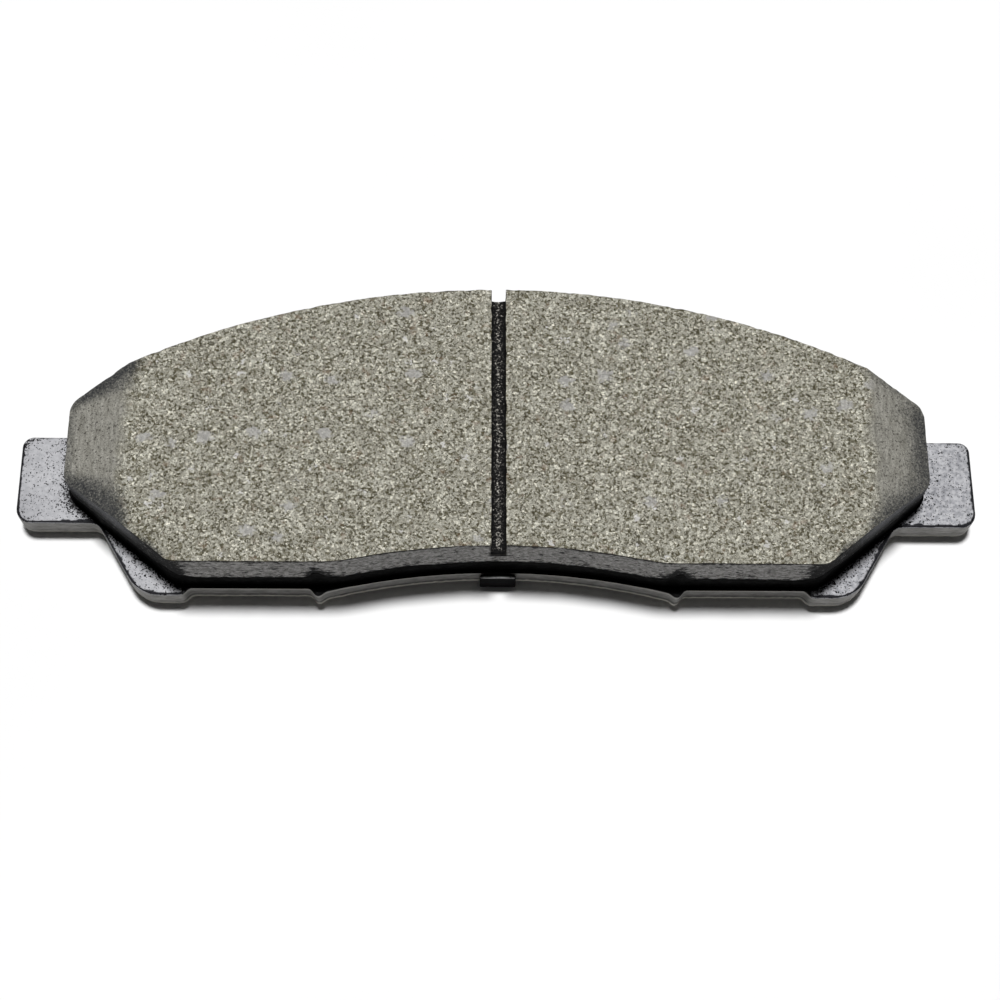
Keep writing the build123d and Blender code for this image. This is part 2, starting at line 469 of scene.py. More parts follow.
def band(lower, upper, count):
    """Quads between two closed rings of points that start at these indices."""
    pairs = [(i, (i + 1) % count) for i in range(count)]
    return [(lower + i, lower + j, upper + j, upper + i) for i, j in pairs]


def hole_walls(upper, lower, holes):
    """Quads down the walls of holes whose upper and lower rims start at these indices."""
    faces = []
    for hole in holes:
        faces += band(upper, lower, len(hole))
        upper += len(hole)
        lower += len(hole)
    return faces


def normals_of(points, triangles):
    """Area-weighted point normals."""
    a, b, c = points[triangles[:, 0]], points[triangles[:, 1]], points[triangles[:, 2]]
    flat = np.cross(b - a, c - a)
    total = np.zeros_like(points)
    for i in range(3):
        np.add.at(total, triangles[:, i], flat)
    return total / np.maximum(np.linalg.norm(total, axis=1), 1e-12)[:, None]


def piece_from(name, points, faces, material, node=None, attributes=None, crease=40.0):
    """A mesh object in metres that rides on the pad and takes a material."""
    mesh = bpy.data.meshes.new(name)
    mesh.from_pydata((np.asarray(points) * MM).tolist(), [], [list(map(int, f)) for f in faces])
    mesh.validate()
    for key, values in (attributes or {}).items():
        layer = mesh.attributes.new(key, "FLOAT", "POINT")
        layer.data.foreach_set("value", np.asarray(values, np.float32))
    mesh.materials.append(material)
    mesh.shade_smooth()
    if crease:
        mesh.set_sharp_from_angle(angle=radians(crease))
    piece = bpy.data.objects.new(name, mesh)
    bpy.context.scene.collection.objects.link(piece)
    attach(piece, "root")
    if node:
        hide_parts(node)


# ---------------------------------------------------------------- friction block: shape
def chamfered_top(x):
    """Level of the friction face or of the end chamfer at x."""
    past = np.clip(np.abs(x) - CHAMFER_X, 0, None)
    return FACE_Z - CHAMFER_DEPTH * past / (CHAMFER_END_X - CHAMFER_X)


def unrolled(points):
    """Distance across the face, down one slot wall, over the floor and up the other; and y."""
    x, y, z = points.T
    side = np.sign(x)
    on_slot_wall = np.abs(np.abs(x) - SLOT_HALF) < 1e-6
    u = np.where(np.abs(x) > SLOT_HALF, x + side * SLOT_DEPTH, x)
    u = np.where(on_slot_wall, side * (SLOT_HALF + z - SLOT_FLOOR), u)
    return np.column_stack([u, y])


def rolled_up(uv):
    """The point on the face, slot wall or slot floor at an unrolled place."""
    u, y = uv[:, 0], uv[:, 1]
    size, side = np.abs(u), np.sign(u)
    on_face = size > SLOT_HALF + SLOT_DEPTH
    on_floor = size <= SLOT_HALF
    x = np.where(on_face, u - side * SLOT_DEPTH, np.where(on_floor, u, side * SLOT_HALF))
    in_slot = SLOT_FLOOR + np.where(on_floor, 0.0, size - SLOT_HALF)
    return np.column_stack([x, y, np.where(on_face, chamfered_top(x), in_slot)])


def outline_arcs(loop, step):
    """The block's outline in four runs: right side, upper slot mouth, left side and lower slot mouth."""
    fine = resampled(loop, 0.02)

    def at_mouth(x, front):
        wrong_side = fine[:, 1] > 0 if front else fine[:, 1] < 0
        return np.argmin(np.abs(fine[:, 0] - x) + wrong_side * 100)

    fine = np.roll(fine, -at_mouth(SLOT_HALF, True), axis=0)
    marks = [0, at_mouth(SLOT_HALF, False), at_mouth(-SLOT_HALF, False), at_mouth(-SLOT_HALF, True)]
    for index, x in zip(marks, (SLOT_HALF, SLOT_HALF, -SLOT_HALF, -SLOT_HALF)):
        fine[index, 0] = x
    marks.append(len(fine))
    closed = np.vstack([fine, fine[:1]])
    return [resampled(closed[a:b + 1], step, closed=False) for a, b in zip(marks, marks[1:])]


def band_level(outline):
    """Height of the wavy line where the dark underlayer ends and the friction mix begins."""
    x, y = outline.T
    places = at_level(outline, 0.0)
    level = BAND_Z + 0.30 * waves(places, 9.0, 11)
    level += 0.22 * waves(places, 1.9, 12) + 0.16 * waves(places, 0.8, 13)
    for side in (-1, 1):
        beyond = side * x - NUB_X
        plateau = 1 / (1 + np.exp((np.abs(beyond) - 1.3) / 0.25))
        tail = np.exp(-np.abs(np.clip(beyond, None, 0)) / 3.0) * (beyond < 0.8)
        level += np.where(y < 0, 2.0 * plateau + 0.9 * tail, 0.0)
        level += 3.0 * bell(np.hypot(side * x - CORNER_X, y - CORNER_Y), 0.0, 3.0)
    return level


def block_rims():
    """The top's rim, down through the slot's mouths, and the outline; then each one's run round the block."""
    rim, outline, s_rim, s_outline, run = [], [], [], [], 0.0
    down = len(SLOT_DROP) - 1
    for number, arc in enumerate(outline_arcs(face_loops("friction_block", BAND_Z)[0], BLOCK_STEP)):
        s = run + along(arc)
        outline += arc[:-1].tolist()
        s_outline += s[:-1].tolist()
        if number in (0, 2):
            rim += at_level(arc, chamfered_top(arc[:, 0])).tolist()
            s_rim += s.tolist()
        else:
            rim += [(*arc[0], z) for z in SLOT_DROP[1:]]
            rim += at_level(arc[1:-1], SLOT_FLOOR).tolist()
            rim += [(*arc[-1], z) for z in SLOT_DROP[:0:-1]]
            s_rim += [s[0]] * down + s[1:-1].tolist() + [s[-1]] * down
        run = s[-1]
    return np.array(rim), np.array(outline), np.array(s_rim), np.array(s_outline), run


def block_top(rim, rng):
    """Face, chamfers and slot, made in the unrolled plane; the rim's points come first."""
    flat_rim = unrolled(rim)
    low, high = flat_rim.min(0), flat_rim.max(0)
    filling = scattered(low, high, BLOCK_STEP, rng)
    folds = [side * (SLOT_HALF + extra) for side in (-1, 1) for extra in (0.0, SLOT_DEPTH)]
    for fold in folds:
        filling = filling[np.abs(filling[:, 0] - fold) > 0.32]
    fold_y = np.arange(low[1], high[1], EDGE_STEP)
    for fold in folds:
        for off in (0.0, -0.16, 0.16):
            wobble = rng.uniform(-0.06, 0.06, len(fold_y))
            beside = np.column_stack([np.full(len(fold_y), fold + off), fold_y + wobble])
            filling = np.vstack([filling, beside])
    filling = filling[inside(filling, flat_rim)]
    filling = filling[nearest_distance(filling, flat_rim) > 0.36]
    clear = np.min(np.abs(flat_rim[:, :1] - np.array(folds)), axis=1) > 0.5
    ring = (flat_rim - outward(flat_rim) * 0.15)[clear]
    ring = ring[inside(ring, flat_rim)]
    flat, triangles = triangulated(flat_rim, np.vstack([filling, ring]))
    points = rolled_up(flat)
    points[:len(rim)] = rim
    return points, triangles


def block_wall(head, foot, run, outline, first, rng):
    """The wall between the wavy line and the rim, made in the plane of run and height.

    Its own points are numbered from first on; the rim's keep their numbers in the top."""
    upright = len(SLOT_DROP) - 1
    rise = np.linspace(foot[0, 1], SLOT_FLOOR, 12)[1:-1]
    seam = np.column_stack([np.full(len(rise), run), rise])
    loop = np.vstack([
        foot, [run, foot[0, 1]], seam,
        head[:1 - upright][::-1], head[-upright:][::-1] * (0, 1), seam[::-1] * (0, 1),
    ])
    filling = scattered((0.0, BAND_Z), (run, FACE_Z), BLOCK_STEP, rng)
    filling = filling[inside(filling, loop)]
    filling = filling[nearest_distance(filling, loop) > 0.3]
    _, triangles = triangulated(loop, filling)
    s_closed = np.append(foot[:, 0], run)
    closed = np.vstack([outline, outline[:1]])
    inner = np.column_stack([np.interp(filling[:, 0], s_closed, closed[:, i]) for i in (0, 1)])
    points = np.vstack([
        at_level(outline, foot[:, 1]), at_level(inner, filling[:, 1]),
        at_level(np.tile(outline[0], (len(rise), 1)), rise),
    ])
    line = first + np.arange(len(outline))
    within = first + len(outline) + np.arange(len(inner))
    closing = first + len(outline) + len(inner) + np.arange(len(rise))
    rim = np.arange(len(head))
    index = np.concatenate([
        line, line[:1], closing, rim[:1 - upright][::-1], rim[-upright:][::-1], closing[::-1], within,
    ])
    return points, index[triangles]


def block_relief(points, on_wall, ground, to_edge):
    """How far the surface stands out: grain and pits above, dashes on the walls, chips along the edges."""
    grain = 0.05 * waves(points, 1.25, 1) + 0.06 * waves(points, 0.8, 2)
    pits = np.clip(waves(points, 1.5, 3) - 0.45, 0, None) * 0.45
    pits += np.clip(waves(points, 0.95, 4) - 0.55, 0, None) * 0.4
    above = (grain - pits) * (0.35 + 0.65 * ground)
    dashes = np.clip(waves(points * (0.45, 0.45, 1.0), 0.9, 5) - 0.5, 0, None)
    beside = 0.025 * waves(points, 2.4, 6) + 0.02 * waves(points, 0.9, 7) - 0.5 * dashes
    chips = 0.05 + 0.16 * np.clip(waves(points, 1.7, 8), 0, None)
    chips += 0.5 * np.clip(waves(points, 3.1, 9) - 0.5, 0, None)
    relief = above * (1 - on_wall) + beside * on_wall - chips * unit(1 - to_edge / 0.55) ** 2
    fade = np.clip((points[:, 2] - BAND_Z) / 3.0, 0.25, 1)
    return np.where(on_wall == 1.0, relief * fade, relief)


def add_friction_and_underlayer(friction_material, underlayer_material):
    """The friction mix and the underlayer, which meet in one wavy line round the block."""
    rng = np.random.default_rng(7)
    rim, outline, s_rim, s_outline, run = block_rims()
    levels = band_level(outline)
    top_points, top_triangles = block_top(rim, rng)
    head, foot = np.column_stack([s_rim, rim[:, 2]]), np.column_stack([s_outline, levels])
    first = len(top_points)
    wall_points, wall_triangles = block_wall(head, foot, run, outline, first, rng)
    points = np.vstack([top_points, wall_points])
    outer = np.vstack([top_triangles, wall_triangles])

    x, y, z = points.T
    radius = np.abs(x)
    on_wall = np.zeros(len(points))
    on_wall[first:] = 1.0
    on_wall[:len(rim)] = 0.5
    ground = 1.0 - unit((radius - CHAMFER_X + 1.1 * waves(points, 2.6, 10)) / 2.6 + 0.5)
    below = (np.abs(np.abs(rim[:, 0]) - SLOT_HALF) < 1e-6) & (rim[:, 2] < FACE_Z - 1e-6)
    slot_y = np.arange(y.min() + 1, y.max(), EDGE_STEP)
    slot_edges = [(side * SLOT_HALF, height, FACE_Z) for side in (-1, 1) for height in slot_y]
    to_edge = nearest_distance(points, np.vstack([rim[~below], slot_edges]))
    relief = block_relief(points, on_wall, ground, to_edge)
    shaped = points + normals_of(points, outer) * relief[:, None]

    level = levels[nearest(points[:, :2], outline)[0]]
    in_slot = (radius <= SLOT_HALF + 1e-6) & (z < FACE_Z - 0.01) & (on_wall < 1.0)
    marks = {
        "soot": np.where(on_wall == 1.0, soot_on_walls(points, z - level), soot_on_top(points, outline)),
        "ground": ground, "wall": on_wall, "slot": in_slot,
        "middle": unit(1 - radius / 1.2) * np.clip((y - outline[0, 1]) / 0.8 - 0.7, -0.6, 1),
        "edge": unit(1 - to_edge / np.where(on_wall == 1.0, 1.1, 0.4)),
    }
    line = shaped[first:first + len(outline)]
    under = triangulated(outline)[1][:, ::-1] + first
    faces = np.vstack([outer, under])
    piece_from("friction_mix_block", shaped, faces, friction_material,
               node="friction_block", crease=60.0, attributes=marks)
    add_underlayer(outline, s_outline, line, levels, underlayer_material)


def add_underlayer(outline, s_outline, line, levels, material):
    """The dark underlayer: rough wall, flared foot and the four plugs in the plate's holes."""
    sideways = outward(outline)
    count = len(outline)
    rows = [line]
    for share in np.linspace(0, 1, 9)[1:]:
        out = 0.03 * waves_along(s_outline, 1.4, 21) * share + 0.22 * share ** 6
        row = at_level(outline + sideways * out[:, None], levels + (FILM_TOP - levels) * share)
        rough = 0.07 * waves(row, 0.9, 22) * min(1.0, 3 * share)
        row[:, :2] += sideways * rough[:, None]
        rows.append(row)
    faces = triangulated(line[:, :2])[1].tolist()
    for number in range(1, len(rows)):
        faces += band(number * count, (number - 1) * count, count)
    holes = plate_holes()
    rims = np.vstack(holes)
    _, under = triangulated(rows[-1][:, :2], holes=holes)
    upper = len(rows) * count
    lower = upper + len(rims)
    index = np.arange(upper - count, lower)
    faces += index[under][:, ::-1].tolist()
    for hole in holes:
        faces += band(lower, upper, len(hole))
        faces.append(list(range(lower, lower + len(hole)))[::-1])
        upper += len(hole)
        lower += len(hole)
    points = np.vstack([*rows, at_level(rims, FILM_TOP), at_level(rims, PLATE_Z)])
    piece_from("underlayer_mix_layer", points, faces, material,
               node="underlayer", crease=None)


# ---------------------------------------------------------------- friction block: black coat
def ragged_radius(points):
    """The distance from the pad's middle line, pushed about so that borders drawn from it are ragged."""
    return np.abs(points[:, 0]) + 1.3 * waves(points, 2.2, 16)


def soot_on_walls(points, above):
    """Black coat up the walls: low down, at the nubs, corners and slanted sides, and at the slot's mouth."""
    x, y, z = points.T
    radius, drifted = np.abs(x), ragged_radius(points)
    low = 0.75 * unit(1 - above / 0.7) + 0.27 * unit(1 - above / 4.0)
    corner = 1.25 * bell(drifted, CORNER_X - 0.3, 3.6) * unit(1.6 - above / 11.0) * (y < FRONT_Y)
    share = unit((radius - CORNER_X - 0.5) / 17.0)
    covered = np.where(y < 0, 1.55 - above / (13.0 + 7.0 * share), 1.3 - above / (3.6 + 8.0 * share))
    slanted = unit((drifted - CORNER_X - 0.5) / 3.5) * unit(covered)
    nub = bell(drifted, NUB_X - 0.6, 3.2) * unit(1.3 - above / 3.4) * (y < 0)
    past_slot = np.clip(radius - SLOT_HALF + 0.3, 0, None) / 0.5
    mouth = unit(1.7 - np.hypot(past_slot, (z - SLOT_FLOOR) / 0.7))
    return np.max([low, corner, slanted, nub, mouth], axis=0)


def soot_on_top(points, outline):
    """Black coat over the chamfered ends, and spilt over the two front corners."""
    x, y, _ = points.T
    off = nearest_distance(points[:, :2], outline)
    upper, lower = unit((y - 4.0) / 3.0), unit((-8.0 - y) / 3.0)
    parts = np.column_stack([upper, 1 - upper - lower, lower])
    reach = np.where(x < 0, parts @ LEFT_REACH, parts @ RIGHT_REACH)
    reach += 0.9 * waves(points, 4.0, 14) + 0.5 * waves(points, 1.5, 15)
    strength = np.where(x < 0, parts @ LEFT_STRENGTH, parts @ RIGHT_STRENGTH)
    at_end = unit((np.abs(x) - CHAMFER_X + 5.0) / 4.0)
    ends = at_end * strength * unit(1.25 - off / reach) ** 0.7
    spill = 0.85 * bell(ragged_radius(points), CORNER_X + 1.5, 3.0)
    return np.maximum(ends, spill * unit(1.2 - off / 1.6) * (y < FRONT_Y))


# ---------------------------------------------------------------- bond film and specks
def film_spread(outline):
    """How far the adhesive was squeezed out at each point of the block's outline."""
    x, y = outline.T
    s = np.arange(len(outline)) * EDGE_STEP
    lobe = bell(np.abs(x), CHAMFER_X, 7.0) * (y < 0)
    spread = 0.62 + 0.12 * waves_along(s, 6.0, 31) + 0.2 * waves_along(s, 1.6, 32) * (0.6 + lobe)
    spread += lobe * 0.35 * unit(waves_along(s, 1.1, 33))
    spread = np.where((np.abs(x) < 60.0) & (y < FRONT_Y), 1.05, spread)
    return np.clip(spread, 0.25, 2.2)


def add_bond_film(material):
    """The black adhesive: a thin sheet with an uneven squeezed-out edge."""
    outline = block_edge(EDGE_STEP)
    sideways, spread = outward(outline), film_spread(outline)
    count = len(outline)
    profile = [
        (np.full(count, -1.5), FILM_TOP), (0.35 * spread, FILM_TOP),
        (0.8 * spread, FILM_TOP - 0.02), (spread, PLATE_TOP + 0.005),
    ]
    rows = [at_level(outline + sideways * off[:, None], z) for off, z in profile]
    holes = plate_holes()
    rims = np.vstack(holes)
    top_points, top = triangulated(rows[0][:, :2], holes=holes)
    points = np.vstack([at_level(top_points, FILM_TOP), *rows[1:], at_level(rims, PLATE_TOP)])
    faces = top.tolist()
    upper, lower = 0, len(top_points)
    for _ in rows[1:]:
        faces += band(lower, upper, count)
        upper, lower = lower, lower + count
    _, bottom = triangulated(rows[-1][:, :2], holes=holes)
    index = np.arange(upper, lower + len(rims))
    faces += index[bottom][:, ::-1].tolist()
    faces += hole_walls(count, lower, holes)
    piece_from("bond_film_spread", points, faces, material, node="bond_film")


def add_specks(material):
    """Small black specks on the plate, thick beside the block and thinning away from it."""
    rng = np.random.default_rng(3)
    tries, sides = 60000, 7
    half_x, half_y, lobes_x = 91.4, 29.6, 58.0
    block = block_edge(COARSE_STEP)
    rim = resampled(face_loops("backing_plate", PLATE_TOP)[0], 0.5)
    places = np.column_stack([rng.uniform(-half_x, half_x, tries), rng.uniform(-half_y, half_y, tries)])
    places = places[np.abs(places[:, 0]) > lobes_x]
    places = places[inside(places, rim) & ~inside(places, block)]
    away = nearest_distance(places, block)
    on_lobe = places[:, 1] < EAR_FOOT_Y
    chance = 1.2 * np.exp(-(away - 0.6) / np.where(on_lobe, 1.3, 1.5)) * np.where(on_lobe, 1.0, 0.8) + 0.004
    kept = (rng.uniform(0, 1, len(places)) < chance) & (away > 0.4)
    places = places[kept & (nearest_distance(places, rim) > 0.15)]
    radii = np.clip(rng.lognormal(-2.35, 0.4, len(places)), 0.05, 0.28)
    points, faces = [], []
    for (x, y), radius in zip(places, radii):
        angles = rng.uniform(0, tau) + np.arange(sides) * tau / sides
        wide = radius * rng.uniform(0.75, 1.25, sides)
        height = min(0.05, 0.3 * radius)
        base = len(points)
        for part, z in ((1.0, PLATE_TOP - 0.01), (0.6, PLATE_TOP + height)):
            points += [(x + part * w * cos(a), y + part * w * sin(a), z) for w, a in zip(wide, angles)]
        faces += band(base, base + sides, sides)
        faces.append(list(range(base + sides, base + 2 * sides)))
        faces.append(list(range(base, base + sides))[::-1])
    piece_from("overspray_specks", points, faces, material)


# ---------------------------------------------------------------- backing plate
def softened(loop):
    """The plate's outline with the front's nubs and steps rounded a little further."""
    radius = np.abs(loop[:, 0])
    near = np.minimum(np.abs(radius - NUB_X), np.abs(radius - STEP_X))
    share = (unit(2.6 - near) * (loop[:, 1] < FRONT_Y))[:, None]
    for _ in range(4):
        middle = 0.5 * loop + 0.25 * (np.roll(loop, 1, axis=0) + np.roll(loop, -1, axis=0))
        loop = loop + (middle - loop) * share
    return loop


def plate_rows(outline):
    """The plate's side, ring by ring: rough break, clean sheared band and rolled upper edge."""
    sideways = outward(outline)
    s = np.arange(len(outline)) * EDGE_STEP
    break_line = PLATE_Z + 1.5 + 0.35 * waves_along(s, 3.0, 41) + 0.25 * waves_along(s, 0.9, 42)
    rows = []
    for z in (0.0, 0.12, 0.35, 0.65, 0.95, 1.25, 1.6, 2.0, 2.5, 3.1, 3.8, 4.4, 4.65):
        broken = unit((break_line - PLATE_Z - z) / 0.4)
        rough = 0.05 + 0.06 * waves(at_level(outline, PLATE_Z + z) * (1, 1, 0.4), 0.7, 43)
        inset = broken * rough + (0.1 if z == 0.0 else 0.0)
        rows.append(at_level(outline - sideways * inset[:, None], PLATE_Z + z))
    for turn in (22.5, 45.0, 67.5, 90.0):
        inset = PLATE_ROLL * (1 - cos(radians(turn)))
        level = PLATE_TOP - PLATE_ROLL + PLATE_ROLL * sin(radians(turn))
        rows.append(at_level(outline - sideways * inset, level))
    return rows


def plate_marks(points, rows, block):
    """Where the coat shows black drift, painted shade along the rolled rim, a front darkened by overspray and
    painted shade, and bright and dark lines, the bright ones painted highlights.
    """
    x, y, z = points.T
    away = nearest_distance(points[:, :2], block)
    from_rim = nearest_distance(points[:, :2], rows[-1][::2, :2])
    front = unit((59.2 - np.abs(x)) / 0.8) * (y < FRONT_Y)
    on_lobe = 1.2 * np.exp(-np.clip(away - 0.4, 0, None) / 1.9)
    on_left_ear = 1.2 * np.exp(-np.clip(away - 0.9, 0, None) / 2.3)
    on_ear = np.where(x < 0, on_left_ear, np.exp(-away / 1.4))
    drift = np.maximum(np.where(y < EAR_FOOT_Y + 1.3, on_lobe, on_ear) - 0.38, 1.5 * front)
    for corner_x, corner_y, chipped in CHIPPED_CORNERS:
        close = bell(np.hypot(x - corner_x, y - corner_y), 0.0, 3.4)
        drift = np.maximum(drift, 1.15 * chipped * close * np.exp(-from_rim / 0.7) - 0.25)
    # Painted shade: a dark line along the rolled rim, weaker at the back and left out in front.
    rim = np.zeros(len(points))
    count = len(rows[0])
    for number, wear_and_edge_shading in ((len(rows) - 3, 0.65), (len(rows) - 2, 1.0), (len(rows) - 1, 0.85)):
        rim[number * count:(number + 1) * count] = wear_and_edge_shading
    # Painted highlights: a bright line at the foot of the side, strongest in front, and a faint one below the
    # rolled rim in front.
    foot = unit(1.6 - (z - PLATE_Z) / 0.55) * (0.35 + 0.65 * front)
    brow = unit(1 - np.abs(z - PLATE_TOP + PLATE_ROLL + 0.2) / 0.45)
    return {
        "side": z < PLATE_TOP - 0.9 * PLATE_ROLL, "drift": drift, "front": front,
        "rim": rim * np.where(y > 1.0, 0.45, 1.0) * (1 - front),
        "glint": np.maximum(foot, 0.35 * brow * front),
        "groove": bell(z, PLATE_Z + 1.35, 0.35) * (0.2 + 0.8 * front),
    }


def add_plate(material):
    """The blanked plate: its side, its two faces and its anchor holes."""
    outline = softened(resampled(face_loops("backing_plate", PLATE_Z)[0], EDGE_STEP))
    rows = plate_rows(outline)
    count = len(outline)
    faces = []
    for number in range(len(rows) - 1):
        faces += band(number * count, (number + 1) * count, count)
    top_rim = rows[-1][:, :2]
    block = block_edge(COARSE_STEP)
    open_face = scattered((-92.0, -30.0), (92.0, 30.0), FACE_STEP, np.random.default_rng(5))
    open_face = open_face[inside(open_face, top_rim)]
    off_block = np.where(inside(open_face, block), -1.0, 1.0) * nearest_distance(open_face, block)
    open_face = open_face[(off_block > -1.0) & (nearest_distance(open_face, top_rim) > 0.3)]
    holes = plate_holes()
    rims = np.vstack(holes)
    _, top = triangulated(top_rim, open_face, holes)
    _, bottom = triangulated(rows[0][:, :2], holes=holes)
    upper = len(rows) * count
    lower = upper + len(rims) + len(open_face)
    points = np.vstack([
        *rows, at_level(rims, PLATE_TOP), at_level(open_face, PLATE_TOP), at_level(rims, PLATE_Z),
    ])
    top_index = np.arange(upper - count, lower)
    bottom_index = np.concatenate([np.arange(count), lower + np.arange(len(rims))])
    faces += top_index[top].tolist() + bottom_index[bottom][:, ::-1].tolist()
    faces += hole_walls(upper, lower, holes)
    piece_from("coated_plate", points, faces, material,
               node="backing_plate", attributes=plate_marks(points, rows, block))


# ---------------------------------------------------------------- shim
def add_shim(steel_material, rubber_material, glue_material):
    """The shim's steel with softened edges; its rubber and glue layers keep their CAD shape."""
    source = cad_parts["shim_steel"].data.copy()
    piece = bpy.data.objects.new("coated_shim", source)
    bpy.context.scene.collection.objects.link(piece)
    weld = piece.modifiers.new("weld", "WELD")
    weld.merge_threshold = 1e-6
    plain = piece.modifiers.new("plain", "DECIMATE")
    plain.decimate_type = "DISSOLVE"
    plain.angle_limit = radians(1.0)
    soft = piece.modifiers.new("soft", "BEVEL")
    soft.width = 0.22 * MM
    soft.segments = 3
    soft.limit_method = "ANGLE"
    soft.angle_limit = radians(35.0)
    soft.use_clamp_overlap = False
    graph = bpy.context.evaluated_depsgraph_get()
    mesh = bpy.data.meshes.new_from_object(piece.evaluated_get(graph))
    piece.modifiers.clear()
    piece.data = mesh
    mesh.materials.clear()
    mesh.materials.append(steel_material)
    mesh.shade_smooth()
    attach(piece, "root")
    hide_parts("shim_steel")
    layers = [
        ("shim_outer_rubber", rubber_material), ("shim_inner_rubber", rubber_material),
        ("shim_adhesive", glue_material),
    ]
    for node, material in layers:
        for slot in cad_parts[node].material_slots:
            slot.material = material


# ---------------------------------------------------------------- materials
def ground_face(m, grain, fine):
    """The ground face's colour: grains, pores, rust, and pale flakes and chips."""
    colour = m.ramp(grain, [
        (0.0, (0.075, 0.068, 0.042)), (0.16, (0.17, 0.16, 0.12)), (0.36, (0.275, 0.266, 0.226)),
        (0.68, (0.34, 0.332, 0.288)), (0.86, (0.44, 0.43, 0.375)), (1.0, (0.64, 0.62, 0.54)),
    ])
    shade = m.ramp(fine, [(0.32, (0.18, 0.17, 0.14)), (0.5, 1.0), (0.72, (1.6, 1.58, 1.5))])
    colour = m.mix(0.85, colour, shade, "MULTIPLY")
    pores = m.ramp(m.noise(1900.0, roughness=0.6), [(0.38, 1.0), (0.44, 0.0)])
    colour = m.mix(m.times(pores, 0.8), colour, (0.040, 0.034, 0.018))
    cloud = m.noise(330.0, detail=3.0, roughness=0.6)
    shade = m.ramp(cloud, [(0.3, (0.82, 0.81, 0.78)), (0.7, (1.16, 1.17, 1.17))])
    colour = m.mix(1.0, colour, shade, "MULTIPLY")
    rust = m.ramp(m.noise(520.0, detail=3.0), [(0.62, 0.0), (0.72, 1.0)])
    colour = m.mix(m.times(rust, 0.35), colour, (0.15, 0.085, 0.05))
    place = m.stretched((1.0, 1.25, 1.0), wobble=0.0035)
    flakes = m.spots(125.0, place, 0.15, (0.42, 0.46))
    colour = m.mix(m.times(flakes, 0.62), colour, (0.385, 0.38, 0.375))
    chips = m.spots(330.0, place, 0.16, (0.86, 0.89))
    return m.mix(m.times(chips, 0.75), colour, (0.58, 0.57, 0.56))


def smooth_end(m, fine):
    """The chamfered ends' colour: finer and brushed lengthwise, with small dark specks."""
    brushed = m.noise(1300.0, detail=4.0, roughness=0.75, at=m.stretched((1.0, 0.22, 1.0)))
    share = m.ramp(brushed, [(0.36, 0.0), (0.64, 1.0)])
    colour = m.mix(share, (0.175, 0.169, 0.145), (0.305, 0.297, 0.264))
    colour = m.mix(0.7, colour, m.ramp(fine, [(0.3, 0.4), (0.7, 1.6)]), "MULTIPLY")
    specks = m.ramp(m.noise(2300.0), [(0.36, 1.0), (0.41, 0.0)])
    return m.mix(m.times(specks, 0.8), colour, (0.045, 0.04, 0.035))


def moulded_wall(m, lengthwise):
    """The wall's colour: mottled grey with short black dashes, more of them where the coat reaches."""
    streaks = m.noise(1700.0, detail=2.5, roughness=0.6, at=lengthwise)
    stroke = m.math("MULTIPLY_ADD", m.attribute("soot"), -0.22, streaks)
    dashes = m.ramp(stroke, [(0.385, 1.0), (0.41, 0.0)])
    mottle = m.noise(1500.0, detail=5.0, roughness=0.8, at=m.stretched((0.8, 0.8, 1.0)))
    tone = m.ramp(mottle, [
        (0.38, (0.14, 0.136, 0.13)), (0.5, (0.265, 0.26, 0.25)), (0.62, (0.44, 0.43, 0.42)),
    ])
    return m.mix(m.times(dashes, 0.9), tone, (0.012, 0.012, 0.012))


def slot_inside(m):
    """The slot's colour: black, with pale crumbs along the middle of its floor."""
    noise = m.noise(2300.0, detail=4.0, roughness=0.8)
    crumbs = m.math("MULTIPLY_ADD", m.attribute("middle"), 0.12, noise)
    return m.ramp(crumbs, [(0.55, 0.002), (0.65, (0.03, 0.028, 0.026)), (0.71, (0.5, 0.48, 0.43))])


def black_coat(m, on_wall, fine, lengthwise):
    """Where the black coat covers the block, and its colour, with a painted sheen that makes it paler high up
    at the ends.
    """
    soot = m.attribute("soot")
    spray = m.swing(m.noise(2700.0, detail=4.0, roughness=0.75), 1.5)
    drips = m.swing(m.noise(1500.0, detail=4.0, roughness=0.7, at=lengthwise), 2.2)
    on_top = m.remap(m.plus(soot, spray), 0.25, 1.05)
    on_side = m.remap(m.plus(soot, drips), 0.44, 0.66)
    cover = m.channel(m.mix(on_wall, on_top, on_side), 0)
    # Painted sheen: the black coat on the walls turns grey high up towards the ends.
    far_end = m.remap(m.math("ABSOLUTE", m.axis(0)), (CHAMFER_X - 6.0) * MM, CHAMFER_X * MM)
    sheen_height = m.remap(m.axis(2), (BAND_Z + 1.2) * MM, (FACE_Z - 1.5) * MM)
    side_coat_and_sheen = m.mix(m.times(far_end, sheen_height), (0.003, 0.003, 0.0032), (0.115, 0.117, 0.124))
    side_coat_and_sheen = m.mix(1.0, side_coat_and_sheen, m.ramp(fine, [(0.34, 0.55), (0.66, 1.45)]), "MULTIPLY")
    return cover, m.mix(on_wall, (0.023, 0.0245, 0.0275), side_coat_and_sheen)


